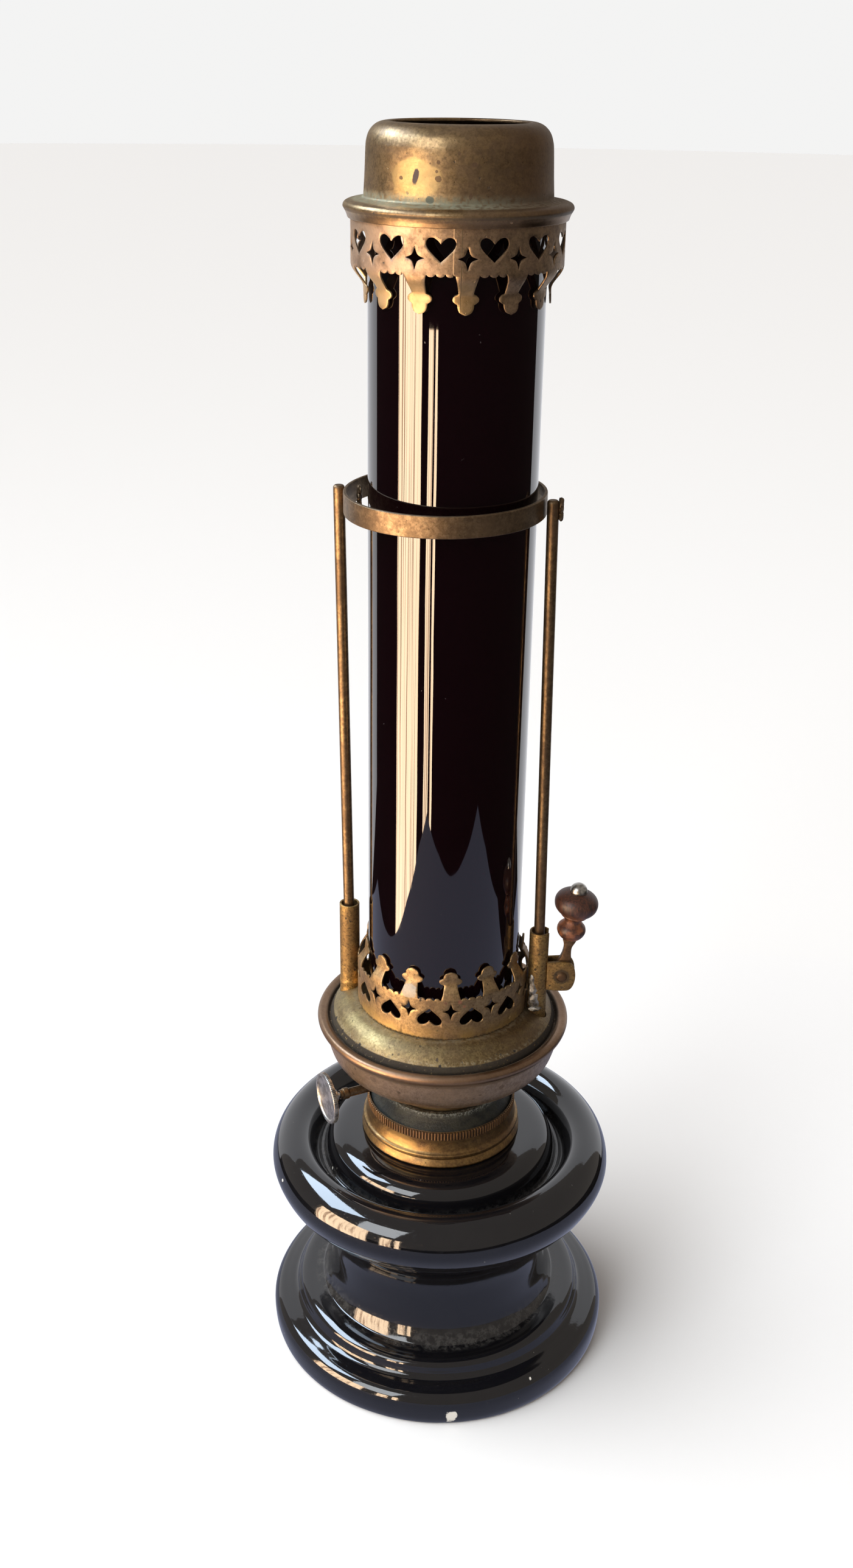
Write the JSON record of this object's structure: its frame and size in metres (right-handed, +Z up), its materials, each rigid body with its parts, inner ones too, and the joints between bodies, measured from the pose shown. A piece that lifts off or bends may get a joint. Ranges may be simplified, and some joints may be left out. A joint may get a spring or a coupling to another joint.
{
  "type": "oil lamp",
  "caption": "Paraffin darkroom lamp: glazed foot and font, brass burner with wick wheel, ruby glass cylinder in pierced coronets that slides up two rods, and a vented cap.",
  "frame": {"origin": "on the lamp's axis, at the bottom of the foot", "axes": "+Z up along the lamp's axis, +X towards the clamp lever, -Y towards the seam side of the coronets"},
  "size_m": [0.1432, 0.1432, 0.4892],
  "materials": {
    "glaze": "glossy black glaze with fine dust and scratches",
    "brass": "aged brass, brown patina, brushed",
    "copper_brass": "aged red brass with a pinkish film",
    "dark_brass": "dark green tarnish, rough",
    "nickel": "worn bright metal with grey film",
    "wood": "dark red-brown turned wood, polished",
    "ruby_glass": "deep ruby, glossy, almost black unlit",
    "leather": "oil-soaked washer",
    "cotton": "woven cotton, charred at the top"
  },
  "bodies": {
    "stand": {"pedestal_foot": "glaze", "oil_font": "glaze", "collar": "brass"},
    "burner_seat": {"gasket": "leather"},
    "burner": {"burner_base": "dark_brass", "burner_bowl": "copper_brass", "air_shield": "dark_brass", "left_rod_socket": "brass", "right_rod_socket": "brass", "left_rod": "brass", "right_rod": "brass", "guard_ring": "brass", "wick_tube": "brass", "spindle_guide": "brass"},
    "wick_drive": {"wick_spindle": "nickel", "spur_wheel_inner": "nickel", "spur_wheel_middle": "nickel", "spur_wheel_outer": "nickel", "wick_wheel": "nickel"},
    "wick": {"wick": "cotton"},
    "gallery": {"gallery_plate": "brass", "flame_cone": "brass", "lower_coronet": "brass", "left_sleeve": "brass", "right_sleeve": "brass", "lever_rivet": "brass"},
    "lever": {"clamp_lever": "brass", "wooden_handle": "wood", "handle_rivet_cap": "nickel"},
    "glass": {"ruby_glass": "ruby_glass"},
    "chimney_cap": {"cap": "brass", "upper_coronet": "brass", "baffle_leg_1": "brass", "baffle_leg_2": "brass", "baffle_leg_3": "brass", "light_baffle": "dark_brass"}
  },
  "joints": [
    {"name": "burner_rise", "type": "slide", "parent": "stand", "child": "burner_seat", "axis": [0, 0, 1], "range_m": [0, 0.0048]},
    {"name": "burner_unscrew", "type": "hinge", "parent": "burner_seat", "child": "burner", "pos_m": [0, 0, 0.112], "axis": [0, 0, 1], "range_deg": [0, 1080]},
    {"name": "wick_wheel_turn", "type": "hinge", "parent": "burner", "child": "wick_drive", "pos_m": [-0.04486, -0.02733, 0.1285], "axis": [0.8988, 0.4384, 0], "range_deg": [-200, 130]},
    {"name": "wick_raise", "type": "slide", "parent": "burner", "child": "wick", "axis": [0, 0, 1], "range_m": [-0.012, 0.008]},
    {"name": "gallery_lift", "type": "slide", "parent": "burner", "child": "gallery", "axis": [-0.014, 0, 0.9999], "range_m": [0, 0.16]},
    {"name": "clamp_lever_turn", "type": "hinge", "parent": "gallery", "child": "lever", "pos_m": [0.0467, -0.00854, 0.1773], "axis": [0, 1, 0], "range_deg": [0, 85]},
    {"name": "glass_lift_off", "type": "slide", "parent": "gallery", "child": "glass", "axis": [0, 0, 1], "range_m": [0, 0.04]},
    {"name": "cap_lift_off", "type": "slide", "parent": "glass", "child": "chimney_cap", "axis": [0, 0, 1], "range_m": [0, 0.05]}
  ],
  "couplings": [
    {"joint": "burner_rise", "follows": "burner_unscrew", "m_per_rad": 0.00025},
    {"joint": "wick_raise", "follows": "wick_wheel_turn", "m_per_rad": 0.0034}
  ]
}
